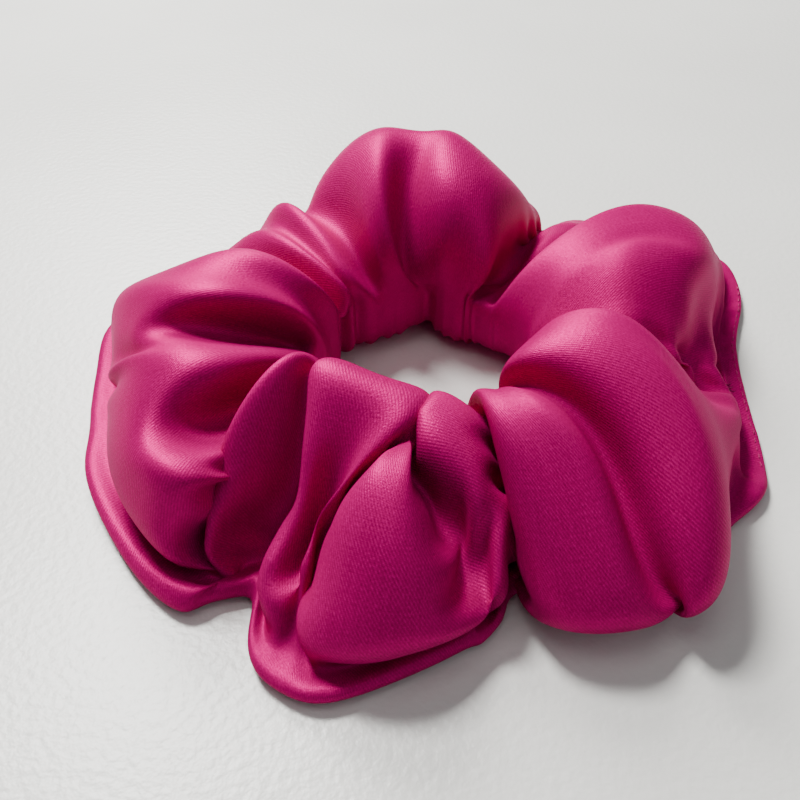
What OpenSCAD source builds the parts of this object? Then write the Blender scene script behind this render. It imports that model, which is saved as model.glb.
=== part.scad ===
// Satin scrunchie: one strip of satin sewn into a tube, gathered on a loop of flat elastic.
// The origin is on the surface it lies on, at the centre of the elastic loop. +Z is up.

/* [Elastic] */
// Radius of the elastic loop's inner face
loop_r = 27; // [26:0.5:29]
// Width of the flat elastic
elastic_w = 6; // [4:0.5:8]
// Thickness of the flat elastic
elastic_t = 1; // [0.8:0.1:1.2]
// Height of the elastic's lower edge above the surface
elastic_z = 8; // [7:0.5:10]
// Length by which the elastic's two ends overlap
elastic_overlap = 12; // [8:1:16]

/* [Sleeve] */
// Thickness of the satin
wall = 0.5; // [0.4:0.05:0.6]
// Radius of the opening at the gathers
opening_r = 25; // [24:0.5:25.5]
// Scale of the puffs' height
puff_scale = 1; // [0.9:0.02:1.1]
// Width of the pressed lip along the seam
lip_w = 3; // [2.5:0.25:4]
// Width of the seam allowance that is turned inside
allowance = 6; // [5:0.5:8]
// Height of the pressed lip's underside above the surface
lip_z = 1.2; // [0.8:0.1:2]

/* [Stitching] */
// Diameter of the sewing thread
thread_d = 0.3; // [0.25:0.05:0.4]
// Length of one stitch and its gap
stitch_pitch = 2.4; // [2:0.1:3]
// Distance of the closing stitches from the edge
edge_distance = 1.6; // [1.4:0.1:2]
// Angle at which the closing stitches start
closing_from = -16; // [-20:1:-10]
// Angle at which the closing stitches end
closing_to = 30; // [24:1:34]

/* [Hidden] */

satin = "#c2187e";
thread = "#b5176f";
rubber = "#eee9e6";

// Each puff of the gathered sleeve: angle of its middle, height, reach of its outer edge.
puffs = [
    [-17, 39, 71], [37, 36, 71], [75, 43, 71], [105, 45, 71], [138, 34, 67],
    [175, 39, 72], [218, 35, 68], [257, 38, 70], [302, 41, 69]
];
puff_count = len(puffs);
gather_drop = 0.62;  // height at a gather, as a share of its puffs' height
gather_pull = 0.86;  // reach at a gather, as a share of its puffs' reach
puff_bulge = 2.5;    // how far a puff's inner side stands into the opening

layer_gap = 0.1;     // between the two seam allowances, and between the strip's two ends
end_seam_at = 4;     // angle of the seam that joins the strip's two ends
stations = 76;       // cross-sections around the ring
top_steps = 14;
bottom_steps = 8;
shell_points = top_steps + bottom_steps + 1;
side_shape = 0.8;    // below 1, a puff's sides are fuller than an ellipse's
top_shape = 0.75;
floor_flatness = 1.7;
thread_sides = 6;
join_stitches = 8;
sink = 0.05;         // how deep a thread is drawn into the cloth under it

lip_mid = lip_z + 2 * wall + layer_gap / 2;
lip_top = lip_mid + layer_gap / 2 + 2 * wall;

// The sleeve's outline around the ring.
function puff_angle(i) = puffs[(i + puff_count) % puff_count][0] + 360 * floor(i / puff_count);
function gather_angle(i) = (puff_angle(i) + puff_angle(i + 1)) / 2;
function turned(a) = a < gather_angle(-1) ? turned(a + 360) : a >= gather_angle(puff_count - 1) ? turned(a - 360) : a;
function puff_at(a, i = 0) = a < gather_angle(i) ? i : puff_at(a, i + 1);
// From 0 in a puff's middle to 1 at the gather beside it.
function off_middle(a, i) = a < puff_angle(i)
    ? (puff_angle(i) - a) / (puff_angle(i) - gather_angle(i - 1))
    : (a - puff_angle(i)) / (gather_angle(i) - puff_angle(i));
function fullness(a, i) = pow(1 - pow(off_middle(a, i), 2.4), 0.55);
function blended(column, share, a, i, full) = let (
        next = a < puff_angle(i) ? i - 1 : i + 1,
        mine = puffs[i][column],
        low = share * (mine + puffs[(next + puff_count) % puff_count][column]) / 2
    ) low + (mine - low) * full;

// [inner radius, outer radius, height] of the sleeve at an angle.
function outline(angle) = let (
        a = turned(angle),
        i = puff_at(a),
        full = fullness(a, i)
    ) [
        opening_r - puff_bulge * full,
        blended(2, gather_pull, a, i, full),
        puff_scale * blended(1, gather_drop, a, i, full)
    ];

function signed_pow(x, p) = sign(x) * pow(abs(x), p);

// Point k of the strip's outer face (inset 0) or inner face (inset wall), as [radius, height].
function shell_point(shape, k, inset) = let (
        outer_r = shape[1] - lip_w,
        middle = (shape[0] + outer_r) / 2,
        half = (outer_r - shape[0]) / 2 - inset,
        over = k <= top_steps,
        t = over ? 180 * k / top_steps : 180 + 180 * (k - top_steps) / bottom_steps,
        edge_z = t <= 270 ? lip_top : lip_z,
        r = middle + half * signed_pow(cos(t), side_shape)
    ) over
        ? [r, lip_top + (shape[2] - inset - lip_top) * pow(abs(sin(t)), top_shape)]
        : [r, inset + max(0, edge_z - (t <= 270 ? inset : 0)) * max(0, 1 - floor_flatness * abs(sin(t)))];

// The strip's cross-section: outer face, lower lip and allowance, inner face, upper allowance and lip.
function section(shape) = let (
        edge = shape[1],
        fold = edge - lip_w - wall,
        raw = edge - allowance
    ) concat(
        [for (k = [0 : shell_points - 1]) shell_point(shape, k, 0)],
        [
            [edge, lip_z], [edge, lip_mid - layer_gap / 2],
            [raw, lip_mid - layer_gap / 2], [raw, lip_z + wall]
        ],
        [for (k = [shell_points - 1 : -1 : 0]) shell_point(shape, k, wall)],
        [
            [fold, lip_top - wall], [raw, lip_top - wall],
            [raw, lip_mid + layer_gap / 2], [edge, lip_mid + layer_gap / 2], [edge, lip_top]
        ]
    );

function around(angle, point) = [point[0] * cos(angle), point[0] * sin(angle), point[1]];

// A solid swept through rings of points, with its own end caps or closed on itself.
module swept(rings, caps = []) {
    sides = len(rings[0]);
    count = len(rings);
    closed = len(caps) == 0;
    points = [for (ring = rings) each ring];
    last = (count - 1) * sides;
    walls = [
        for (i = [0 : count - (closed ? 1 : 2)], k = [0 : sides - 1])
            let (j = (i + 1) % count, m = (k + 1) % sides)
                each [
                    [i * sides + k, i * sides + m, j * sides + m],
                    [i * sides + k, j * sides + m, j * sides + k]
                ]
    ];
    ends = [
        for (cap = caps)
            each [
                [cap[0], cap[2], cap[1]],
                [last + cap[0], last + cap[1], last + cap[2]]
            ]
    ];
    polyhedron(points = points, faces = concat(walls, ends));
}

// Triangles that close the strip's cross-section, as point numbers of section().
function strip_caps() = let (
        n = shell_points,
        inner = function (k) 2 * n + 3 - k,
        lower = n,
        upper = 2 * n + 4
    ) concat(
        [for (k = [0 : n - 2]) each [[k, k + 1, inner(k + 1)], [k, inner(k + 1), inner(k)]]],
        [
            [lower + 1, lower + 2, lower + 3], [lower + 1, lower + 3, inner(n - 1)],
            [lower + 1, inner(n - 1), n - 1], [lower + 1, n - 1, lower],
            [upper + 3, upper + 4, 0], [upper + 3, 0, inner(0)],
            [upper + 3, inner(0), upper], [upper + 3, upper, upper + 1],
            [upper + 3, upper + 1, upper + 2]
        ]
    );

module satin_sleeve() {
    half_gap = layer_gap / 2 / opening_r * 180 / PI;
    first = end_seam_at + half_gap;
    sweep = 360 - 2 * half_gap;
    color(satin)
        swept(
            [for (i = [0 : stations - 1])
                let (a = first + sweep * i / (stations - 1))
                    [for (p = section(outline(a))) around(a, p)]],
            strip_caps()
        );
}

module elastic_band() {
    overlap_angle = elastic_overlap / loop_r * 180 / PI;
    color(rubber)
        translate([0, 0, elastic_z]) {
            rotate_extrude($fn = 180)
                translate([loop_r, 0])
                    square([elastic_t, elastic_w]);
            rotate([0, 0, 90 - overlap_angle / 2])
                rotate_extrude(angle = overlap_angle, $fn = 180)
                    translate([loop_r + elastic_t / 2, 0])
                        square([1.5 * elastic_t, elastic_w]);
        }
}

// A round thread's ring of points about a middle, in the plane of two directions.
function thread_ring(middle, across, up) = [
    for (k = [0 : thread_sides - 1])
        let (t = 360 * k / thread_sides)
            middle + thread_d / 2 * (cos(t) * across + sin(t) * up)
];
function square_caps() = [for (k = [1 : thread_sides - 2]) [0, k, k + 1]];

// One straight stitch between two points.
module stitch(from, to) {
    run = to - from;
    length = norm(run);
    translate(from)
        rotate([0, acos(run[2] / length), atan2(run[1], run[0])])
            cylinder(d = thread_d, h = length, $fn = 16);
}

// A zigzag across the elastic's overlap, on one face of it.
module join_zigzag(radius) {
    step = elastic_overlap * 0.8 / join_stitches;
    margin = elastic_w * 0.2;
    for (i = [0 : join_stitches - 1]) {
        a0 = 90 + ((i + 0.1 - join_stitches / 2) * step) / radius * 180 / PI;
        a1 = 90 + ((i + 0.9 - join_stitches / 2) * step) / radius * 180 / PI;
        low = elastic_z + margin;
        high = elastic_z + elastic_w - margin;
        stitch(around(a0, [radius, i % 2 == 0 ? low : high]), around(a1, [radius, i % 2 == 0 ? high : low]));
    }
}

module elastic_join_needle_thread() {
    color(thread) join_zigzag(loop_r - thread_d / 2 + sink);
}

module elastic_join_bobbin_thread() {
    color(thread) join_zigzag(loop_r + 2 * elastic_t + thread_d / 2 - sink);
}

// The long seam's thread, as one run beside the lip, on the given side of the two allowances.
module long_seam_run(z) {
    from = closing_to + 2;
    sweep = 360 - (closing_to - closing_from) - 4;
    rings = 64;
    color(thread)
        swept(
            [for (i = [0 : rings - 1])
                let (a = from + sweep * i / (rings - 1), r = outline(a)[1] - lip_w - 1.2)
                    thread_ring(around(a, [r, z]), [cos(a), sin(a), 0], [0, 0, 1])],
            square_caps()
        );
}

module long_seam_needle_thread() {
    long_seam_run(lip_top - wall + thread_d / 2 - sink);
}

module long_seam_bobbin_thread() {
    long_seam_run(lip_z + wall - thread_d / 2 + sink);
}

// The end seam's thread, as one run around the inside of the tube, on one side of the seam.
module end_seam_run(side) {
    a = end_seam_at + side * 1.2;
    depth = wall + thread_d / 2 - sink;
    first = 2;
    points = [for (k = [first : shell_points - 1 - first]) shell_point(outline(a), k, depth)];
    color(thread)
        swept(
            [for (k = [0 : len(points) - 1])
                let (
                    before = points[max(0, k - 1)],
                    after = points[min(len(points) - 1, k + 1)],
                    along = (after - before) / norm(after - before)
                )
                    thread_ring(
                        around(a, points[k]),
                        [-sin(a), cos(a), 0],
                        [along[1] * cos(a), along[1] * sin(a), -along[0]]
                    )],
            square_caps()
        );
}

module end_seam_needle_thread() {
    end_seam_run(1);
}

module end_seam_bobbin_thread() {
    end_seam_run(-1);
}

// The closing stitches along the pressed lip, on its upper or lower face.
module closing_row(z) {
    count = floor((closing_to - closing_from) * PI / 180 * puffs[0][2] * 0.95 / stitch_pitch);
    step = (closing_to - closing_from) / count;
    for (i = [0 : count - 1]) {
        a0 = closing_from + (i + 0.12) * step;
        a1 = closing_from + (i + 0.88) * step;
        color(thread)
            stitch(
                around(a0, [outline(a0)[1] - edge_distance, z]),
                around(a1, [outline(a1)[1] - edge_distance, z])
            );
    }
}

module closing_needle_thread() {
    closing_row(lip_top + thread_d / 2 - sink);
}

module closing_bobbin_thread() {
    closing_row(lip_z - thread_d / 2 + sink);
}

satin_sleeve();
elastic_band();
elastic_join_needle_thread();
elastic_join_bobbin_thread();
long_seam_needle_thread();
long_seam_bobbin_thread();
end_seam_needle_thread();
end_seam_bobbin_thread();
closing_needle_thread();
closing_bobbin_thread();
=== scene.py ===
"""A satin scrunchie: one strip of satin, sewn into a tube, gathered on a loop of elastic."""

import bpy
import math

import numpy as np
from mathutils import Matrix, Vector

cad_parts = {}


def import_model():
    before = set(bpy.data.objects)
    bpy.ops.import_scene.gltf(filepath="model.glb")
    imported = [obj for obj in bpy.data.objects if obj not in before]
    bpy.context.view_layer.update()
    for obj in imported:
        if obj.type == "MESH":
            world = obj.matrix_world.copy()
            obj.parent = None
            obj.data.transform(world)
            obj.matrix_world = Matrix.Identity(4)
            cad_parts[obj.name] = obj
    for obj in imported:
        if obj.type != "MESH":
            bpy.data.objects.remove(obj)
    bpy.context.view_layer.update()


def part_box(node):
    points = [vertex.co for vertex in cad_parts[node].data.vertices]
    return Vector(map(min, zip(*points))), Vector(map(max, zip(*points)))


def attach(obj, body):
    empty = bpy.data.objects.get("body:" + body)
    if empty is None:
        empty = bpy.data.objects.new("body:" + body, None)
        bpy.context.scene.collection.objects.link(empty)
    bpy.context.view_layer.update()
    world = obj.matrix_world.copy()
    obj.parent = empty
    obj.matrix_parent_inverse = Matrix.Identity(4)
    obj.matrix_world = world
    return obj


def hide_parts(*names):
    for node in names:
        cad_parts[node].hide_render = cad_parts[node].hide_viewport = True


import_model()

MM = 0.001

# --- The ring's shape, in millimetres -------------------------------------------------
# Each rib is a section of the tube: the angle of its foot on the elastic in
# degrees, then five or six points from the pressed edge on the table over the top to the
# inside: edge, wall, waist, shoulder, top, inner. A rib of five points leaves out the waist.
RIBS = [
    (4, (72, 6, 2), (63, 5, 8), (57, 4, 12), (51, 2, 17), (40, 0, 22), (28, 2, 18)),
    (14, (74, 20, 3), (64, 15, 12), (59, 14, 18), (54, 10, 25), (44, 11, 31), (30, 9, 25)),
    (26, (83, 45, 3), (70, 35, 13), (66, 31, 21), (59, 24, 30), (45, 24, 33), (27, 14, 28)),
    (38, (82, 59, 4), (73, 51, 12), (65, 44, 22), (56, 35, 31), (40, 30, 33), (24, 19, 28)),
    (47, (72, 62, 3), (65, 58, 10), (57, 51, 18), (46, 38, 31), (34, 30, 30), (20, 21, 24)),
    (52, (62, 62, 2), (52, 52, 5), (47, 48, 9), (40, 40, 13), (31, 27, 17), (20, 22, 15)),
    (58, (55, 65, 2), (50, 63, 8), (46, 59, 11), (40, 52, 15), (28, 38, 18), (16, 24, 16)),
    (62, (46, 69, 2), (41, 65, 9), (37, 60, 13), (32, 52, 16), (24, 36, 17), (14, 24, 14)),
    (65, (38, 69, 2), (33, 62, 7), (29, 54, 10), (25, 46, 13), (19, 36, 16), (12, 27, 14)),
    (68, (32, 69, 2), (29, 63, 12), (27, 54, 20), (23, 42, 29), (19, 33, 31), (12, 20, 22)),
    (75, (21, 69, 2), (20, 64, 13), (18, 56, 26), (16, 41, 38), (11, 32, 40), (7, 22, 26)),
    (84, (8, 71, 2), (9, 71, 18), (8, 59, 33), (6, 48, 46), (1, 36, 44), (2, 21, 26)),
    (91, (-3, 70, 2), (-2, 63, 14), (-1, 56, 29), (-1, 50, 45), (-5, 35, 33), (-3, 25, 15)),
    (98, (-10, 72, 2), (-9, 72, 18), (-9, 63, 32), (-10, 49, 46), (-10, 35, 43), (-7, 21, 26)),
    (106, (-21, 69, 2), (-20, 66, 14), (-19, 59, 28), (-17, 49, 43), (-15, 35, 39), (-10, 20, 26)),
    (113, (-30, 63, 2), (-29, 60, 14), (-26, 46, 31), (-19, 36, 32), (-12, 22, 25)),
    (119, (-36, 58, 2), (-33, 52, 10), (-29, 42, 24), (-21, 32, 26), (-13, 22, 18)),
    (126, (-44, 56, 2), (-41, 52, 14), (-35, 43, 29), (-27, 31, 31), (-16, 17, 24)),
    (131, (-50, 51, 2), (-44, 45, 12), (-36, 36, 24), (-28, 26, 26), (-17, 17, 19)),
    (136, (-55, 47, 2), (-50, 42, 14), (-40, 34, 27), (-29, 23, 30), (-17, 14, 24)),
    (141, (-60, 43, 2), (-53, 34, 10), (-43, 26, 19), (-31, 19, 22), (-19, 13, 16)),
    (150, (-70, 36, 3), (-65, 28, 15), (-50, 19, 28), (-37, 14, 36), (-22, 9, 28)),
    (162, (-77, 24, 5), (-71, 19, 17), (-61, 11, 28), (-45, 6, 35), (-26, 5, 27)),
    (172, (-76, 10, 3), (-68, 5, 17), (-60, 2, 29), (-39, -5, 36), (-26, 0, 27)),
    (180, (-75, 2, 2), (-66, -3, 16), (-55, -7, 29), (-39, 0, 22), (-28, 4, 15)),
    (188, (-73, -10, 2), (-64, -15, 16), (-55, -18, 29), (-37, -21, 34), (-27, -10, 26)),
    (197, (-71, -21, 2), (-62, -26, 14), (-53, -30, 25), (-39, -20, 21), (-26, -11, 18)),
    (204, (-63, -35, 2), (-56, -38, 12), (-47, -40, 25), (-38, -33, 22), (-26, -16, 21)),
    (209, (-54, -47, 2), (-47, -46, 9), (-45, -44, 14), (-41, -41, 19), (-34, -31, 18), (-25, -17, 17)),
    (212, (-46, -53, 2), (-39, -38, 5), (-37, -33, 8), (-35, -29, 12), (-29, -24, 16), (-21, -16, 14)),
    (216, (-41, -51, 2), (-40, -44, 9), (-39, -38, 18), (-37, -32, 27), (-29, -22, 34), (-22, -14, 28)),
    (221, (-37, -50, 2), (-34, -37, 9), (-32, -36, 17), (-30, -31, 26), (-25, -20, 35), (-20, -15, 26)),
    (225, (-33, -49, 2), (-26, -34, 8), (-25, -31, 15), (-25, -29, 22), (-22, -20, 31), (-17, -19, 22)),
    (230, (-33, -61, 2), (-32, -57, 11), (-23, -41, 20), (-21, -33, 28), (-19, -22, 36), (-16, -18, 30)),
    (236, (-31, -65, 2), (-27, -58, 9), (-22, -46, 12), (-16, -33, 28), (-12, -27, 34), (-9, -23, 31)),
    (243, (-28, -68, 2), (-24, -57, 8), (-20, -45, 16), (-13, -39, 27), (-1, -32, 32), (2, -27, 31)),
    (247, (-24, -70, 2), (-23, -59, 7), (-20, -46, 12), (-15, -39, 19), (-4, -33, 25), (-1, -27, 22)),
    (251, (-19, -71, 2), (-23, -64, 9), (-20, -56, 19), (-17, -50, 26), (-10, -42, 30), (-6, -32, 24)),
    (258, (-12, -69, 2), (-12, -68, 9), (-10, -61, 22), (-7, -51, 28), (-6, -41, 30), (-4, -31, 24)),
    (264, (-2, -64, 2), (-1, -64, 10), (0, -58, 20), (-2, -50, 24), (-5, -40, 27), (-3, -30, 23)),
    (269, (5, -60, 2), (7, -57, 9), (5, -49, 11), (0, -41, 16), (-5, -34, 22), (-1, -29, 19)),
    (272, (9, -58, 2), (11, -53, 9), (9, -47, 19), (4, -42, 28), (-3, -37, 32), (-2, -28, 28)),
    (275, (12, -54, 2), (13, -47, 9), (12, -45, 18), (8, -39, 26), (3, -32, 31), (-1, -25, 30)),
    (279, (13, -50, 2), (15, -45, 7), (14, -41, 14), (11, -36, 22), (7, -28, 29), (3, -24, 28)),
    (282, (17, -47, 2), (16, -44, 6), (15, -39, 11), (13, -33, 18), (9, -27, 24), (6, -24, 23)),
    (286, (21, -48, 3), (17, -60, 8), (13, -53, 19), (11, -45, 28), (8, -33, 36), (7, -25, 32)),
    (294, (30, -49, 3), (25, -65, 8), (23, -55, 20), (20, -45, 29), (14, -33, 37), (9, -26, 33)),
    (300, (41, -48, 3), (36, -63, 9), (31, -55, 20), (26, -42, 31), (18, -34, 37), (11, -25, 33)),
    (303, (43, -48, 3), (41, -57, 8), (35, -49, 13), (31, -37, 20), (23, -27, 29), (13, -20, 27)),
    (308, (46, -47, 3), (46, -62, 9), (39, -55, 20), (35, -41, 29), (23, -25, 37), (10, -20, 35)),
    (318, (51, -42, 3), (51, -54, 10), (47, -48, 24), (44, -34, 34), (26, -20, 42), (14, -15, 36)),
    (330, (58, -34, 2), (52, -41, 13), (50, -37, 26), (44, -27, 34), (29, -15, 42), (19, -11, 36)),
    (342, (65, -28, 2), (58, -24, 12), (53, -25, 21), (47, -21, 29), (32, -13, 39), (24, -7, 31)),
    (350, (70, -16, 2), (64, -7, 8), (56, -6, 12), (50, -3, 16), (38, -1, 23), (27, 1, 18)),
]
# How far the inner wall swells into the hole at the back, by angle: least at the crease there.
BACK_OF_HOLE = [(36, 1.1), (47, 1.3), (74, 1.25), (84, 0.8), (91, 0.0), (98, 0.5), (108, 0.85),
                (130, 0.8)]
COLUMNS = 384            # of the cloth's grid, along the strip
ROWS = 88                # of the cloth's grid, around the tube
FOOT_SHARE = 0.66        # of the way around the tube, where the cloth lies on the elastic
HOLD = (0.20, 0.035)     # how firmly the cloth is kept near the ribs, in the first and last round
ROUNDS = 90
APART = 1.2              # least distance that the solver aims for between two layers of cloth
WEIGHT = 0.004           # how far the cloth sinks in one round
FIRMNESS = 0.80          # how strongly the cloth resists being pushed together
LIP_THICKNESS = 0.9      # between the two layers where the edge was sewn shut
LIP_ROWS = 6             # rows of the cloth that the flat lip is wide
PLEAT_LENGTH = 11.0      # cloth in one fine pleat at the elastic
PLEAT_DEPTH = 5.0
TABLE_GAP = 0.35
CLOTH = 0.3              # thickness of the satin
FLANGE = 6.0             # width of the stiff pressed edge, where the seam allowances lie
GATHER_R = 26.0          # radius of the cloth where it lies on the elastic's inner face
ELASTIC_Z = (6.2, 15.8)  # heights that the elastic's clear space runs between
ELASTIC_R = (26.0, 30.3)
STRIP_LENGTH = 560.0     # the satin strip before it was sewn and gathered
GIRTH = 130.0            # around the tube
CLOSING = (-16.0, 30.0)  # angles that the closing stitches run between
EDGE_DISTANCE = 1.8      # from the edge to the closing stitches
STITCH_PITCH = 2.4
THREAD = 0.3             # diameter of the sewing thread
PUCKER_LENGTH = 7.6
PUCKER_DEPTH = 0.32
IRONED = (192.0, 268.0)  # angles that the smoothed stretch of the edge runs between
IRON_ROUNDS = 10
END_SEAM_REACH = 90      # columns on each side of the end seam that the closing stitches may use


def closed_spline(points, knots, period, at):
    """Periodic cubic (Catmull-Rom on uneven knots) through points, read at the places at."""
    n = len(points)
    k = np.concatenate([knots[-2:] - period, knots, knots[:3] + period])
    p = np.concatenate([points[-2:], points, points[:3]])
    slope = np.empty_like(p)
    shape = (-1,) + (1,) * (p.ndim - 1)
    h = np.diff(k).reshape(shape)
    d = np.diff(p, axis=0) / h
    slope[1:-1] = (d[:-1] * h[1:] + d[1:] * h[:-1]) / (h[1:] + h[:-1])
    slope[0], slope[-1] = d[0], d[-1]
    i = np.clip(np.searchsorted(k, at, side="right") - 1, 1, n + 2)
    h = (k[i + 1] - k[i]).reshape(shape)
    t = ((at - k[i]).reshape(shape)) / h
    return ((2 * t**3 - 3 * t**2 + 1) * p[i] + (t**3 - 2 * t**2 + t) * h * slope[i]
            + (-2 * t**3 + 3 * t**2) * p[i + 1] + (t**3 - t**2) * h * slope[i + 1])


def flange_width(angle):
    """The edge is flattest where it was sewn shut beside the end seam, and at the front left."""
    width = FLANGE
    for middle, extra, spread in ((16, 4.0, 20), (216, 5.0, 10)):
        off = (angle - middle + 180) % 360 - 180
        width += extra * math.exp(-((off / spread) ** 2))
    return width


def rib_points(rib):
    angle = math.radians(rib[0])
    outward = np.array([math.cos(angle), math.sin(angle), 0.0])
    points = [np.array(p, float) for p in rib[1:]]
    if len(points) == 5:
        edge, wall, shoulder, top, inner = points
        waist = (9 * (wall + shoulder) - edge - top) / 16
    else:
        edge, wall, waist, shoulder, top, inner = points
    inward = -edge / np.hypot(edge[0], edge[1])
    inward[2] = 0
    roll = edge + inward * 0.35 * FLANGE + [0, 0, 2.6]
    tuck = edge + inward * flange_width(rib[0]) + [0, 0, 1.0]
    bulge = min(1.0, max(0.0, (inner[2] - 16) / 10))
    if BACK_OF_HOLE[0][0] < rib[0] < BACK_OF_HOLE[-1][0]:
        bulge = float(np.interp(rib[0], *zip(*BACK_OF_HOLE)))
    high = outward * (GATHER_R - 3.3 * bulge) + [0, 0, 16.5]
    foot = outward * (GATHER_R - 3.6 * bulge) + [0, 0, 11.0]
    low = outward * (GATHER_R - 3.9 * bulge) + [0, 0, 5.5]
    sole = outward * (GATHER_R - 3.6 * bulge) + [0, 0, 1.4 + 3.6 * (1 - bulge)]
    lift = max(0.0, 32.0 - top[2]) * 0.22
    near = sole * 0.66 + edge * 0.34
    far = sole * 0.28 + edge * 0.72
    near[2], far[2] = 0.7 + lift, 0.6 + 0.6 * lift
    return [edge, roll, tuck, wall, waist, shoulder, top, inner, high, foot, low, sole, near, far]


def foot_row(rows):
    """The row of the cloth that lies on the elastic."""
    return round(rows * FOOT_SHARE)


def guide_surface(columns, rows):
    """The shape to aim for, as points [column along the strip, row around the tube]."""
    ribs = np.array([rib_points(r) for r in RIBS])
    around = []
    for rib in ribs:
        steps = np.linalg.norm(np.roll(rib, -1, 0) - rib, axis=1)
        knots = np.concatenate([[0], np.cumsum(steps)[:-1]])
        at = np.arange(4 * rows) / (4 * rows) * steps.sum()
        fine = closed_spline(rib, knots, steps.sum(), at)
        around.append(fine)
    around = np.array(around)
    # Even out the cloth around each section, keeping the pressed edge and the gather in step.
    sections = []
    foot = foot_row(rows)
    for rib, fine in zip(ribs, around):
        d = np.linalg.norm(np.roll(fine, -1, 0) - fine, axis=1)
        run = np.concatenate([[0], np.cumsum(d)])
        loop = np.concatenate([fine, fine[:1]])
        middle = rib[9]
        at_foot = run[int(np.argmin(np.linalg.norm(fine - middle, axis=1)))]
        want = np.concatenate([np.linspace(0, at_foot, foot, endpoint=False),
                               np.linspace(at_foot, run[-1], rows - foot, endpoint=False)])
        sections.append(np.stack([np.interp(want, run, loop[:, c]) for c in range(3)], 1))
    sections = np.array(sections)
    gap = np.linalg.norm(np.roll(sections, -1, 0) - sections, axis=2)
    width = np.sort(gap, axis=1)[:, -rows // 4:].mean(1)
    knots = np.concatenate([[0], np.cumsum(width)[:-1]])
    at = np.arange(columns) / columns * width.sum()
    return closed_spline(sections, knots, width.sum(), at)


HALF = [(0, 0, 0)] + [(x, y, z) for x in (0, 1) for y in (-1, 0, 1) for z in (-1, 0, 1)
                      if (x, y, z) > (0, 0, 0)]


def near_pairs(points, reach, skip):
    """Pairs of grid points closer than reach that aren't neighbours in the cloth."""
    columns, rows = points.shape[:2]
    x = points.reshape(-1, 3)
    cell = np.floor(x / reach).astype(np.int64)
    cell -= cell.min(0) - 1
    dims = cell.max(0) + 3
    key = (cell[:, 0] * dims[1] + cell[:, 1]) * dims[2] + cell[:, 2]
    order = np.argsort(key, kind="stable")
    ranked = key[order]
    found = []
    everyone = np.arange(len(x))
    for dx, dy, dz in HALF:
        wanted = key + (dx * dims[1] + dy) * dims[2] + dz
        lo = np.searchsorted(ranked, wanted, "left")
        count = np.searchsorted(ranked, wanted, "right") - lo
        total = int(count.sum())
        if not total:
            continue
        a = np.repeat(everyone, count)
        start = np.repeat(np.cumsum(count) - count, count)
        b = order[np.arange(total) - start + np.repeat(lo, count)]
        if (dx, dy, dz) == (0, 0, 0):
            keep = a < b
            a, b = a[keep], b[keep]
        keep = ((x[a] - x[b]) ** 2).sum(1) < reach * reach
        a, b = a[keep], b[keep]
        di = np.abs(a // rows - b // rows)
        dj = np.abs(a % rows - b % rows)
        far = (np.minimum(di, columns - di) > skip) | (np.minimum(dj, rows - dj) > skip)
        found.append((a[far], b[far]))
    return np.concatenate([f[0] for f in found]), np.concatenate([f[1] for f in found])


def spring(p, shift, rest, pull, push):
    """Moves both ends of each grid edge towards its rest length."""
    axes = tuple(i for i in range(2) if shift[i])
    by = tuple(-shift[i] for i in axes)
    back = tuple(shift[i] for i in axes)
    d = np.roll(p, by, axes) - p
    length = np.sqrt((d * d).sum(2, keepdims=True)) + 1e-9
    e = (length - rest) / length
    c = np.where(e > 0, pull, push) * e * d * 0.38
    p += c
    p -= np.roll(c, back, axes)


def bend(p, axis, reach, amount):
    """Straightens the cloth where its curvature changes quickly, as a stiff sheet does."""
    curve = p - 0.5 * (np.roll(p, reach, axis) + np.roll(p, -reach, axis))
    p -= amount * (curve - 0.5 * (np.roll(curve, reach, axis) + np.roll(curve, -reach, axis)))


def normals(p):
    along = np.roll(p, -1, 0) - np.roll(p, 1, 0)
    across = np.roll(p, -1, 1) - np.roll(p, 1, 1)
    n = np.cross(along, across)
    return n / (np.linalg.norm(n, axis=2, keepdims=True) + 1e-9)


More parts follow.
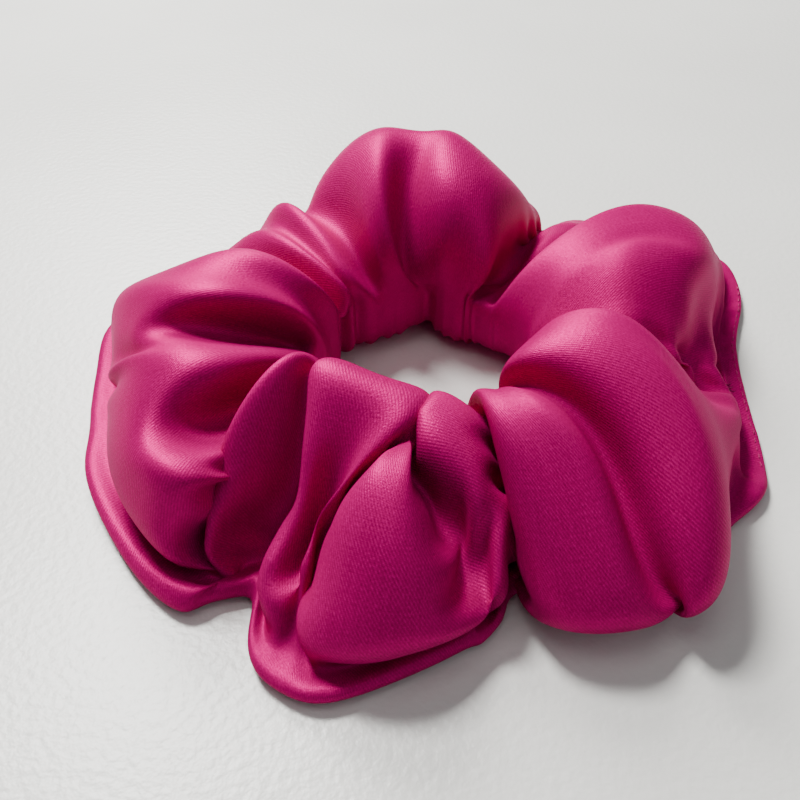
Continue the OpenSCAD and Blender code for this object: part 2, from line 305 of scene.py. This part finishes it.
def relax(p, guide, lengths):
    """Lets the cloth settle. It is pulled towards its lengths and towards guide, and is pushed off
    itself, the table and the elastic. Being held near guide, it doesn't keep its lengths exactly."""
    columns, rows = p.shape[:2]
    ds, dv = lengths
    shear = math.hypot(ds, dv)
    old = p.copy()
    foot = foot_row(rows)
    from_foot = np.abs((np.arange(rows) - foot + rows // 2) % rows - rows // 2) / rows
    loose = np.clip((from_foot - 0.16) / 0.26, 0.0, 1.0)[None, :, None] ** 1.5
    push = FIRMNESS * (0.03 + 0.97 * loose)
    push_around = np.maximum(push, 0.3 * FIRMNESS)
    from_edge = np.minimum(np.arange(rows), rows - np.arange(rows)) / rows
    pinned = 0.4 * np.exp(-(from_foot / 0.045) ** 2) + 0.30 * np.exp(-(from_edge / 0.03) ** 2)
    pinned = pinned[None, :, None]
    push = push * (0.12 + 0.88 * np.clip((from_edge - 0.02) / 0.09, 0, 1))[None, :, None]
    pairs = None
    for step in range(ROUNDS):
        share = step / max(1, ROUNDS - 1)
        stay = HOLD[0] * (HOLD[1] / HOLD[0]) ** share
        speed = (p - old) * 0.82
        limit = np.linalg.norm(speed, axis=2, keepdims=True)
        speed *= np.minimum(1.0, 0.35 * APART / (limit + 1e-9))
        old = p.copy()
        p = p + speed
        p[..., 2] -= WEIGHT
        p += np.maximum(stay, pinned) * (guide - p)
        for _ in range(4):
            spring(p, (1, 1), shear, 0.35, 0.15 * push)
            spring(p, (1, -1), shear, 0.35, 0.15 * push)
            for axis in (0, 1):
                for reach, much in ((1, 0.08), (2, 0.01)):
                    bend(p, axis, reach, much)
            spring(p, (1, 0), ds, 1.0, push)
            spring(p, (0, 1), dv, 1.0, push_around)
        if step % 4 == 0:
            pairs = near_pairs(p, APART * 1.5, 3)
        x = p.reshape(-1, 3)
        a, b = pairs
        d = x[a] - x[b]
        length = np.sqrt((d * d).sum(1)) + 1e-9
        hit = length < APART
        a, b, d, length = a[hit], b[hit], d[hit], length[hit]
        c = d * (0.5 * (APART - length) / length)[:, None]
        n = len(x)
        move = [np.bincount(a, c[:, k], n) - np.bincount(b, c[:, k], n) for k in range(3)]
        move = np.stack(move, 1)
        count = np.bincount(a, minlength=n) + np.bincount(b, minlength=n)
        x += move / np.maximum(1.0, 0.5 * count)[:, None]
        keep_out_elastic(p)
        p[..., 2] = np.maximum(p[..., 2], TABLE_GAP)
    return p


def keep_out_elastic(p):
    """Moves points out of the clear space around the elastic, through its nearest side. The outer
    side counts as 1 mm farther than it is."""
    r = np.hypot(p[..., 0], p[..., 1]) + 1e-9
    z = p[..., 2]
    (r0, r1), (z0, z1) = ELASTIC_R, ELASTIC_Z
    inside = (r > r0) & (r < r1) & (z > z0) & (z < z1)
    gaps = np.stack([r - r0, r1 - r, z - z0, z1 - z])
    gaps[1] += 1.0
    way = gaps.argmin(0)
    new_r = np.where(inside & (way == 0), r0, np.where(inside & (way == 1), r1, r))
    p[..., 2] = np.where(inside & (way == 2), z0, np.where(inside & (way == 3), z1, z))
    scale = new_r / r
    p[..., 0] *= scale
    p[..., 1] *= scale


def settle_cloth():
    guide = guide_surface(COLUMNS, ROWS)
    lengths = (STRIP_LENGTH / COLUMNS, GIRTH / ROWS)
    cloth = relax(guide.copy(), guide, lengths)
    gather_pleats(cloth)
    iron_lip(cloth)
    press_lip(cloth)
    pucker_lip(cloth)
    draw_in_end_seam(cloth)
    return cloth


def edge_angles(cloth):
    """The angle of each column's place on the pressed edge, in degrees from -180 to 180."""
    return np.degrees(np.arctan2(cloth[:, 0, 1], cloth[:, 0, 0]))


def iron_lip(cloth):
    """Takes the small buckles out of the pressed edge at the front left, where it lies smooth."""
    rows = cloth.shape[1]
    angles = edge_angles(cloth) % 360
    along = np.clip((angles - IRONED[0]) / 8, 0, 1) * np.clip((IRONED[1] - angles) / 8, 0, 1)
    from_edge = np.minimum(np.arange(rows), rows - np.arange(rows))
    across = np.clip((15 - from_edge) / 6, 0, 1)
    weight = 0.5 * along[:, None, None] * across[None, :, None]
    for _ in range(IRON_ROUNDS):
        cloth += weight * (0.5 * (np.roll(cloth, 1, 0) + np.roll(cloth, -1, 0)) - cloth)


def press_lip(cloth):
    """Flattens the lip where it was sewn shut, with its two layers close together at the edge."""
    angles = edge_angles(cloth)
    start = np.clip((angles - CLOSING[0] + 6) / 8, 0, 1)
    end = np.clip((CLOSING[1] + 16 - angles) / 10, 0, 1)
    sewn = (start * end * (np.hypot(cloth[:, 0, 0], cloth[:, 0, 1]) > 50))[:, None]
    edge = cloth[:, 0]
    root = 0.5 * (cloth[:, LIP_ROWS] + cloth[:, -LIP_ROWS])
    for row in range(1, LIP_ROWS):
        share = row / LIP_ROWS
        upper, lower = cloth[:, row].copy(), cloth[:, -row].copy()
        apart = upper - lower
        gap = np.linalg.norm(apart, axis=1, keepdims=True) + 1e-9
        half = LIP_THICKNESS / 2 + max(0.0, share - 0.6) * 0.5 * gap
        middle = edge + share * (root - edge)
        cloth[:, row] += sewn * (middle + half * apart / gap - upper)
        cloth[:, -row] += sewn * (middle - half * apart / gap - lower)


def gather_pleats(cloth):
    """Fine pleats where the elastic draws the cloth together, deepest on the underside."""
    columns, rows = cloth.shape[:2]
    foot = foot_row(rows)
    along = np.arange(columns) / columns * 2 * math.pi
    turns = round(STRIP_LENGTH / PLEAT_LENGTH)
    phase = turns * along + 1.3 * np.sin(9 * along + 0.4) + 0.9 * np.sin(17 * along + 2.0)
    depth = 0.75 + 0.25 * np.sin(13 * along + 1.0)
    pleat = depth * (0.5 + 0.5 * np.sin(phase)) ** 0.8
    row = np.arange(rows) - foot
    reach = np.where(row < 3, 0.04 * np.exp(-((row - 3) / 6.0) ** 2), np.exp(-((row - 11) / 11.0) ** 4))
    reach = np.where((row >= 3) & (row < 9), 0.04 + 0.96 * (row - 3) / 6, reach)
    cloth -= PLEAT_DEPTH * normals(cloth) * pleat[:, None, None] * reach[None, :, None]
    keep_out_elastic(cloth)
    cloth[..., 2] = np.maximum(cloth[..., 2], TABLE_GAP)


def pucker_lip(cloth):
    """Small ripples where the closing stitches draw the lip up."""
    columns, rows = cloth.shape[:2]
    angles = edge_angles(cloth)
    along = np.arange(columns) * STRIP_LENGTH / columns
    stitched = np.clip((angles - CLOSING[0]) / 4, 0, 1) * np.clip((CLOSING[1] - angles) / 4, 0, 1)
    wave = np.sin(2 * math.pi * along / PUCKER_LENGTH)
    wave += 0.6 * np.sin(2 * math.pi * along / 4.9 + 1.0)
    row = np.arange(rows)
    reach = np.exp(-((row - 3.0) / 2.2) ** 2)
    cloth += PUCKER_DEPTH * normals(cloth) * (stitched * wave)[:, None, None] * reach[None, :, None]


def draw_in_end_seam(cloth):
    """The end seam pulls the cloth in along a narrow line around the tube, beside a soft ridge."""
    columns, rows = cloth.shape[:2]
    off = (np.arange(columns) + columns // 2) % columns - columns // 2
    line = -0.55 * np.exp(-(off / 0.7) ** 2) + 0.25 * np.exp(-((off - 2.5) / 1.3) ** 2)
    from_edge = np.minimum(np.arange(rows), rows - np.arange(rows))
    free = np.clip((from_edge - 1) / 3, 0, 1)
    cloth += normals(cloth) * line[:, None, None] * free[None, :, None]


# --- Materials ------------------------------------------------------------------------
def node_material(name):
    material = bpy.data.materials.new(name)
    material.use_nodes = True
    tree = material.node_tree
    return material, tree, tree.nodes["Principled BSDF"]


class Nodes:
    """Short calls for adding and joining shader nodes."""

    def __init__(self, tree):
        self.tree = tree

    def put(self, value, socket):
        if isinstance(value, bpy.types.NodeSocket):
            self.tree.links.new(value, socket)
        else:
            socket.default_value = value

    def math(self, kind, a, b=0.0, clamp=False):
        node = self.tree.nodes.new("ShaderNodeMath")
        node.operation = kind
        node.use_clamp = clamp
        self.put(a, node.inputs[0])
        self.put(b, node.inputs[1])
        return node.outputs[0]

    def dot(self, vector, by):
        node = self.tree.nodes.new("ShaderNodeVectorMath")
        node.operation = "DOT_PRODUCT"
        self.put(vector, node.inputs[0])
        node.inputs[1].default_value = by
        return node.outputs["Value"]

    def times(self, vector, by):
        node = self.tree.nodes.new("ShaderNodeVectorMath")
        node.operation = "MULTIPLY"
        self.put(vector, node.inputs[0])
        node.inputs[1].default_value = by
        return node.outputs[0]

    def noise(self, vector, scale, detail=2.0, rough=0.5):
        node = self.tree.nodes.new("ShaderNodeTexNoise")
        self.put(vector, node.inputs["Vector"])
        node.inputs["Scale"].default_value = scale
        node.inputs["Detail"].default_value = detail
        node.inputs["Roughness"].default_value = rough
        return node.outputs["Fac"]

    def ramp(self, fac, *stops):
        node = self.tree.nodes.new("ShaderNodeValToRGB")
        self.put(fac, node.inputs[0])
        elements = node.color_ramp.elements
        while len(elements) < len(stops):
            elements.new(0.5)
        for element, (place, colour) in zip(elements, stops):
            element.position = place
            element.color = (*colour, 1)
        return node.outputs["Color"]

    def mix(self, fac, a, b):
        node = self.tree.nodes.new("ShaderNodeMix")
        node.data_type = "RGBA"
        self.put(fac, node.inputs[0])
        for value, socket in ((a, node.inputs[6]), (b, node.inputs[7])):
            self.put(value if isinstance(value, bpy.types.NodeSocket) else (*value, 1), socket)
        return node.outputs[2]

    def bump(self, height, strength, distance):
        node = self.tree.nodes.new("ShaderNodeBump")
        node.inputs["Strength"].default_value = strength
        node.inputs["Distance"].default_value = distance
        self.put(height, node.inputs["Height"])
        return node.outputs["Normal"]

    def coordinates(self, kind):
        return self.tree.nodes.new("ShaderNodeTexCoord").outputs[kind]

    def uv(self, name):
        node = self.tree.nodes.new("ShaderNodeUVMap")
        node.uv_map = name
        return node.outputs["UV"]

    def tangent(self, uv):
        node = self.tree.nodes.new("ShaderNodeTangent")
        node.direction_type = "UV_MAP"
        node.uv_map = uv
        return node.outputs[0]


TWILL_PITCH = 0.00052    # between the satin's slanted lines
YARN_PITCH = 0.00028


def satin_material():
    """Polyester satin: long floats of warp in slanted lines, glossier along the yarn than across."""
    material, tree, shader = node_material("satin")
    n = Nodes(tree)
    cloth = n.uv("cloth")
    turn = 2 * math.pi
    slant = math.radians(30)
    across, along = math.cos(slant) * turn, math.sin(slant) * turn
    line = n.math("SINE", n.dot(cloth, (across / TWILL_PITCH, along / TWILL_PITCH, 0)))
    yarn = n.math("SINE", n.dot(cloth, (-along / YARN_PITCH, across / YARN_PITCH, 0)))
    slub = n.noise(n.times(cloth, (2600, 110, 1)), 1.0, 3.0)
    cross_slub = n.noise(n.times(cloth, (110, 2400, 1)), 1.0, 2.0)
    grain = n.noise(n.times(cloth, (2900, 1700, 1)), 1.0, 2.0, 0.6)
    mottle = n.noise(n.times(cloth, (1, 1, 1)), 38.0, 3.0)
    weave = n.math("ADD", n.math("MULTIPLY", line, 0.30), n.math("MULTIPLY", yarn, 0.12))
    weave = n.math("ADD", weave, n.math("MULTIPLY", n.math("SUBTRACT", grain, 0.5), 2.2))
    weave = n.math("ADD", weave, n.math("MULTIPLY", n.math("SUBTRACT", slub, 0.5), 0.9))
    weave = n.math("ADD", weave, n.math("MULTIPLY", n.math("SUBTRACT", cross_slub, 0.5), 0.5))
    tone = n.math("ADD", n.math("MULTIPLY", weave, 0.45), 0.5, clamp=True)
    colour = n.ramp(tone, (0.0, (0.20, 0.0002, 0.052)), (0.55, (0.37, 0.0004, 0.107)),
                    (1.0, (0.60, 0.001, 0.205)))
    colour = n.mix(n.math("MULTIPLY", mottle, 0.35), colour, (0.30, 0.0004, 0.082))
    tree.links.new(colour, shader.inputs["Base Color"])
    rough = n.math("ADD", n.math("MULTIPLY", slub, 0.12), 0.40)
    tree.links.new(rough, shader.inputs["Roughness"])
    shader.inputs["Metallic"].default_value = 0.34
    shader.inputs["Specular IOR Level"].default_value = 0.03
    shader.inputs["Specular Tint"].default_value = (1.0, 0.12, 0.5, 1)
    shader.inputs["Anisotropic"].default_value = 0.55
    tree.links.new(n.tangent("cloth"), shader.inputs["Tangent"])
    tree.links.new(n.bump(weave, 0.5, 0.00007), shader.inputs["Normal"])
    return material


def thread_material():
    """Polyester sewing thread, its plies twisted around each other."""
    material, tree, shader = node_material("sewing_thread")
    n = Nodes(tree)
    run = n.uv("run")
    turn = 2 * math.pi
    ply = n.math("SINE", n.dot(run, (turn / 0.00055, 3 * turn, 0)))
    hair = n.noise(n.times(run, (9000, 30, 1)), 1.0, 3.0)
    height = n.math("ADD", n.math("MULTIPLY", ply, 0.5), hair)
    # Painted shade: the colour darkens between the twisted plies, where the relief is low, with random
    # tone from the hairs on top.
    colour = n.ramp(n.math("MULTIPLY", height, 0.6), (0.0, (0.16, 0.0004, 0.045)),
                    (1.0, (0.52, 0.004, 0.16)))
    tree.links.new(colour, shader.inputs["Base Color"])
    shader.inputs["Metallic"].default_value = 0.2
    shader.inputs["Roughness"].default_value = 0.42
    shader.inputs["Specular IOR Level"].default_value = 0.2
    tree.links.new(n.bump(height, 0.7, 0.00006), shader.inputs["Normal"])
    return material


def elastic_material():
    """White braided elastic: rubber cores under slanted polyester yarns."""
    material, tree, shader = node_material("braided_elastic")
    n = Nodes(tree)
    run = n.uv("run")
    turn = 2 * math.pi
    one_way = n.math("SINE", n.dot(run, (turn / 0.0011, turn / 0.0009, 0)))
    other_way = n.math("SINE", n.dot(run, (turn / 0.0011, -turn / 0.0009, 0)))
    fibre = n.noise(n.times(run, (900, 5200, 1)), 1.0, 3.0)
    height = n.math("ADD", n.math("MAXIMUM", one_way, other_way), n.math("MULTIPLY", fibre, 0.8))
    # Painted shade: the white turns grey in the braid's hollows, where the relief is low, with random
    # tone from the fibres on top.
    colour = n.ramp(n.math("MULTIPLY", height, 0.55), (0.0, (0.50, 0.46, 0.43)),
                    (0.6, (0.80, 0.77, 0.74)), (1.0, (0.90, 0.88, 0.86)))
    tree.links.new(colour, shader.inputs["Base Color"])
    shader.inputs["Roughness"].default_value = 0.75
    shader.inputs["Sheen Weight"].default_value = 0.15
    tree.links.new(n.bump(height, 0.6, 0.00012), shader.inputs["Normal"])
    return material


# --- Meshes ---------------------------------------------------------------------------
def add_object(name, mesh):
    obj = bpy.data.objects.new(name, mesh)
    bpy.context.scene.collection.objects.link(obj)
    return obj


def tube_mesh(name, p):
    """A closed tube through the grid p, with UVs in metres: along the strip, around the tube."""
    columns, rows = p.shape[:2]
    i, j = np.meshgrid(np.arange(columns), np.arange(rows), indexing="ij")
    i, j = i.ravel(), j.ravel()
    i2, j2 = (i + 1) % columns, (j + 1) % rows
    faces = np.stack([i * rows + j, i2 * rows + j, i2 * rows + j2, i * rows + j2], 1)
    mesh = bpy.data.meshes.new(name)
    mesh.from_pydata((p.reshape(-1, 3) * MM).tolist(), [], faces.tolist())
    uv = mesh.uv_layers.new(name="cloth")
    u = np.stack([i, i + 1, i + 1, i], 1) * (STRIP_LENGTH * MM / columns)
    v = np.stack([j, j, j + 1, j + 1], 1) * (GIRTH * MM / rows)
    uv.data.foreach_set("uv", np.stack([u, v], 2).astype(np.float32).ravel())
    mesh.polygons.foreach_set("use_smooth", np.ones(len(faces), bool))
    mesh.update()
    return mesh


def add_modifier(obj, name, kind, **values):
    modifier = obj.modifiers.new(name, kind)
    for key, value in values.items():
        setattr(modifier, key, value)


def thread_mesh(name, paths, radius, sides=8):
    """Round threads along lists of points in mm, closed at both ends, with UVs in metres of thread."""
    points, faces, uvs = [], [], []
    for path in paths:
        path = np.asarray(path, float)
        ahead = np.gradient(path, axis=0)
        ahead /= np.linalg.norm(ahead, axis=1, keepdims=True) + 1e-9
        side = np.cross(ahead, [0.13, 0.21, 0.97])
        side /= np.linalg.norm(side, axis=1, keepdims=True) + 1e-9
        up = np.cross(side, ahead)
        angle = np.arange(sides) * 2 * math.pi / sides
        ring = np.cos(angle)[None, :, None] * side[:, None]
        ring = ring + np.sin(angle)[None, :, None] * up[:, None]
        taper = np.ones(len(path))
        taper[0] = taper[-1] = 0.55
        first = len(points)
        points.extend((path[:, None] + radius * taper[:, None, None] * ring).reshape(-1, 3) * MM)
        steps = np.linalg.norm(np.diff(path, axis=0), axis=1)
        run = np.concatenate([[0], np.cumsum(steps)]) * MM
        for i in range(len(path) - 1):
            for k in range(sides):
                k2 = (k + 1) % sides
                a, b = first + i * sides, first + (i + 1) * sides
                faces.append((a + k, a + k2, b + k2, b + k))
                uvs += [(run[i], k / sides), (run[i], (k + 1) / sides),
                        (run[i + 1], (k + 1) / sides), (run[i + 1], k / sides)]
        last = first + (len(path) - 1) * sides
        faces.append(tuple(first + k for k in reversed(range(sides))))
        faces.append(tuple(last + k for k in range(sides)))
        uvs += [(0.0, 0.5)] * sides + [(run[-1], 0.5)] * sides
    mesh = bpy.data.meshes.new(name)
    mesh.from_pydata([tuple(p) for p in points], [], faces)
    mesh.uv_layers.new(name="run").data.foreach_set("uv", np.array(uvs, np.float32).ravel())
    mesh.polygons.foreach_set("use_smooth", np.ones(len(faces), bool))
    mesh.update()
    return mesh


class Surface:
    """Reads points and outward directions of the settled cloth between its grid points."""

    def __init__(self, cloth):
        self.points = cloth
        self.normals = normals(cloth)
        self.columns, self.rows = cloth.shape[:2]

    def read(self, grid, column, row):
        i, j = int(math.floor(column)), int(math.floor(row))
        a, b = column - i, row - j
        c0, c1 = i % self.columns, (i + 1) % self.columns
        r0, r1 = j % self.rows, (j + 1) % self.rows
        return ((1 - a) * (1 - b) * grid[c0, r0] + a * (1 - b) * grid[c1, r0]
                + (1 - a) * b * grid[c0, r1] + a * b * grid[c1, r1])

    def at(self, column, row, lift=0.0):
        return self.read(self.points, column, row) + lift * self.read(self.normals, column, row)


def rows_in(surface, column):
    """How many rows from the edge the closing stitches lie at this column."""
    edge = surface.at(column, 0)
    root = 0.5 * (surface.at(column, LIP_ROWS) + surface.at(column, -LIP_ROWS))
    return EDGE_DISTANCE * LIP_ROWS / max(np.linalg.norm(root - edge), EDGE_DISTANCE)


def closing_stitches(surface, side):
    """Dashes beside the edge, on the lip's upper (side 1) or lower (side -1) face."""
    angles = edge_angles(surface.points)
    beside = surface.points[:, 1]
    column_length = np.linalg.norm(np.roll(beside, -1, 0) - beside, axis=1)
    half = surface.columns // 2
    off = (np.arange(surface.columns) + half) % surface.columns - half
    order = np.argsort(off)
    stitched = (angles[order] > CLOSING[0]) & (angles[order] < CLOSING[1])
    inside = order[stitched & (np.abs(off[order]) < END_SEAM_REACH)]
    columns = off[inside].astype(float)
    run = np.concatenate([[0], np.cumsum(column_length[inside])[:-1]])
    stitches = []
    for k in range(int(run[-1] / STITCH_PITCH)):
        start = (k + (0.0 if side > 0 else 0.5)) * STITCH_PITCH
        places = start + STITCH_PITCH * np.linspace(0.14, 0.86, 7)
        lifts = THREAD * np.array([-0.6, 0.1, 0.36, 0.42, 0.36, 0.1, -0.6])
        at = np.interp(places, run, columns)
        stitches.append([surface.at(c, side * rows_in(surface, c), lift)
                         for c, lift in zip(at, lifts)])
    return stitches


def long_seam(surface, side):
    """One run inside the lip, from where the closing stitches end round to where they start."""
    angles = edge_angles(surface.points)
    path = []
    for column in range(surface.columns):
        if CLOSING[0] - 2 < angles[column] < CLOSING[1] + 2:
            continue
        upper, lower = surface.at(column, 1.0), surface.at(column, -1.0)
        path.append(upper + (0.5 + 0.18 * side) * (lower - upper))
    path = np.array(path)
    gap = np.linalg.norm(np.roll(path, -1, 0) - path, axis=1)
    return [np.roll(path, -int(gap.argmax()) - 1, 0)]


def end_seam(surface, side):
    """One run around the inside of the tube, beside the fold of the end seam."""
    rows = np.arange(2.0, surface.rows - 1.0, 1.0)
    inside = -(CLOTH + THREAD / 2 + 0.08)
    return [[surface.at(0.35 * side, row, inside) for row in rows]]


def add_piece(name, mesh, material, body, slot, *nodes):
    piece = add_object(name, mesh)
    piece.data.materials.append(material)
    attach(piece, body)
    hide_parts(*nodes)
    return piece


def sleeve_piece(cloth):
    mesh = tube_mesh("satin_sleeve_cloth", cloth)
    sleeve = add_piece("satin_sleeve_cloth", mesh, satin_material(), "sleeve", "satin", "satin_sleeve")
    add_modifier(sleeve, "thickness", "SOLIDIFY", thickness=CLOTH * MM, offset=-1)
    add_modifier(sleeve, "smooth", "SUBSURF", levels=1, render_levels=1)
    return sleeve


def sleeve_threads(surface, material):
    runs = {
        "closing_needle_thread": closing_stitches(surface, 1),
        "closing_bobbin_thread": closing_stitches(surface, -1),
        "long_seam_needle_thread": long_seam(surface, -1),
        "long_seam_bobbin_thread": long_seam(surface, 1),
        "end_seam_needle_thread": end_seam(surface, 1),
        "end_seam_bobbin_thread": end_seam(surface, -1),
    }
    pieces = []
    for node, paths in runs.items():
        name = node.replace("_thread", "_stitches")
        mesh = thread_mesh(name, paths, THREAD / 2)
        pieces.append(add_piece(name, mesh, material, "sleeve", "thread", node))
    return pieces


class Elastic:
    """The loop of flat elastic, measured from its CAD node. Its overlap is at 90 degrees."""

    def __init__(self):
        low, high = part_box("elastic_band")
        self.low, self.high = low[2] / MM, high[2] / MM
        self.outer = -low[1] / MM
        self.thick = high[1] / MM - self.outer
        self.inner = self.outer - self.thick
        self.overlap = 12.0


def elastic_mesh(elastic):
    """A ribbed flat band that runs once round and on over its own start."""
    ribs, steps = 9, 240
    half = elastic.overlap / 2 / elastic.inner
    turn = 2 * math.pi + 2 * half
    width = elastic.high - elastic.low
    outline = []
    for k in range(ribs * 4 + 1):
        share = k / (ribs * 4)
        swell = 0.5 - 0.09 * (1 + math.cos(2 * math.pi * ribs * share)) / 2
        if k in (0, ribs * 4):
            swell = 0.30
        outline.append((swell * elastic.thick, share * width))
    outline += [(-x, y) for x, y in reversed(outline)]
    rings = []
    for i in range(steps + 1):
        angle = math.pi / 2 - half + turn * i / steps
        over = (i / steps * turn - (2 * math.pi - 3 * half)) / (2 * half)
        over = min(1.0, max(0.0, over))
        radius = elastic.inner + elastic.thick * (0.5 + 0.98 * over * over * (3 - 2 * over))
        rings.append([((radius + x) * math.cos(angle), (radius + x) * math.sin(angle),
                       elastic.low + y) for x, y in outline])
    n = len(outline)
    points = np.array(rings).reshape(-1, 3) * MM
    faces, uvs = [], []
    steps_around = np.linalg.norm(np.diff(outline + outline[:1], axis=0), axis=1)
    around = np.concatenate([[0], np.cumsum(steps_around)]) * MM
    run = np.arange(steps + 1) * turn / steps * elastic.inner * MM
    for i in range(steps):
        for k in range(n):
            a, b, k2 = i * n, (i + 1) * n, (k + 1) % n
            faces.append((a + k, a + k2, b + k2, b + k))
            uvs += [(run[i], around[k]), (run[i], around[k + 1]),
                    (run[i + 1], around[k + 1]), (run[i + 1], around[k])]
    faces.append(tuple(reversed(range(n))))
    faces.append(tuple(steps * n + k for k in range(n)))
    uvs += [(0, 0)] * (2 * n)
    mesh = bpy.data.meshes.new("elastic_braid")
    mesh.from_pydata([tuple(p) for p in points], [], faces)
    mesh.uv_layers.new(name="run").data.foreach_set("uv", np.array(uvs, np.float32).ravel())
    mesh.polygons.foreach_set("use_smooth", np.ones(len(faces), bool))
    mesh.update()
    return mesh


def join_zigzag(elastic, radius):
    """Eight slanted stitches across the elastic's overlap, on one face of it."""
    stitches = []
    count, margin = 8, 0.2 * (elastic.high - elastic.low)
    step = 0.8 * elastic.overlap / count / radius
    ends = (elastic.low + margin, elastic.high - margin)
    for k in range(count):
        a0 = math.pi / 2 + (k - count / 2 + 0.1) * step
        a1 = a0 + 0.8 * step
        z0, z1 = ends if k % 2 == 0 else ends[::-1]
        share = np.linspace(0, 1, 9)
        angle, height = a0 + share * (a1 - a0), z0 + share * (z1 - z0)
        stitches.append(np.stack([radius * np.cos(angle), radius * np.sin(angle), height], 1))
    return stitches


def elastic_pieces(material):
    elastic = Elastic()
    add_piece("elastic_braid", elastic_mesh(elastic), elastic_material(), "elastic", "elastic",
              "elastic_band")
    inside = elastic.inner - THREAD / 2 + 0.05
    outside = elastic.inner + 2 * elastic.thick + THREAD / 2 - 0.05
    radii = {"elastic_join_needle_thread": inside, "elastic_join_bobbin_thread": outside}
    for node, radius in radii.items():
        name = node.replace("_thread", "_stitches")
        mesh = thread_mesh(name, join_zigzag(elastic, radius), THREAD / 2)
        add_piece(name, mesh, material, "elastic", "thread", node)


cloth = settle_cloth()
sleeve = sleeve_piece(cloth)
sewing_thread = thread_material()
stitches = sleeve_threads(Surface(cloth), sewing_thread)
elastic_pieces(sewing_thread)


# --- Floor, light and camera ----------------------------------------------------------
CAMERA_PLACE = (-0.00637, -0.1433, 0.1380)
CAMERA_PITCH = 43        # degrees below level
TABLE_HALF = 3.0         # half the table's side, in metres
LIT_POINT = (0, 0, 0.02)


def floor():
    material, tree, shader = node_material("table")
    n = Nodes(tree)
    place = n.coordinates("Object")
    pebble = n.noise(place, 620.0, 2.0, 0.45)
    stain = n.noise(place, 9.0, 3.0)
    colour = n.ramp(stain, (0.3, (0.60, 0.60, 0.575)), (0.7, (0.66, 0.66, 0.635)))
    tree.links.new(colour, shader.inputs["Base Color"])
    tree.links.new(n.math("ADD", n.math("MULTIPLY", stain, 0.10), 0.30), shader.inputs["Roughness"])
    tree.links.new(n.bump(pebble, 0.35, 0.0004), shader.inputs["Normal"])
    mesh = bpy.data.meshes.new("table_top")
    s = TABLE_HALF
    mesh.from_pydata([(-s, -s, 0), (s, -s, 0), (s, s, 0), (-s, s, 0)], [], [(0, 1, 2, 3)])
    obj = add_object("table_top", mesh)
    mesh.materials.append(material)


def area_light(name, place, size, power, color):
    light = bpy.data.lights.new(name, "AREA")
    light.shape = "RECTANGLE"
    light.size, light.size_y = size
    light.energy = power
    light.color = color
    obj = add_object(name, light)
    obj.location = place
    direction = Vector(LIT_POINT) - Vector(place)
    obj.rotation_euler = direction.to_track_quat("-Z", "Y").to_euler()


def camera():
    data = bpy.data.cameras.new("view")
    data.sensor_width = 36
    data.lens = 40.5
    data.clip_start = 0.01
    obj = add_object("view", data)
    obj.location = CAMERA_PLACE
    obj.rotation_euler = (math.radians(90 - CAMERA_PITCH), 0, 0)
    bpy.context.scene.camera = obj


def world():
    w = bpy.data.worlds.new("studio")
    w.use_nodes = True
    w.node_tree.nodes["Background"].inputs["Color"].default_value = (0.93, 0.95, 1.0, 1)
    w.node_tree.nodes["Background"].inputs["Strength"].default_value = 0.11
    bpy.context.scene.world = w


floor()
camera()
world()
area_light("window", (-0.24, 0.68, 0.60), (0.34, 0.30), 14, (1.0, 0.985, 0.96))
area_light("skylight", (-0.30, 0.36, 0.80), (0.22, 0.22), 16, (1.0, 0.99, 0.97))
area_light("softbox", (-0.10, -0.12, 0.85), (0.45, 0.45), 1.2, (1.0, 0.99, 0.98))
area_light("fill", (0.55, -0.55, 0.7), (0.9, 0.9), 2.0, (0.95, 0.97, 1.0))
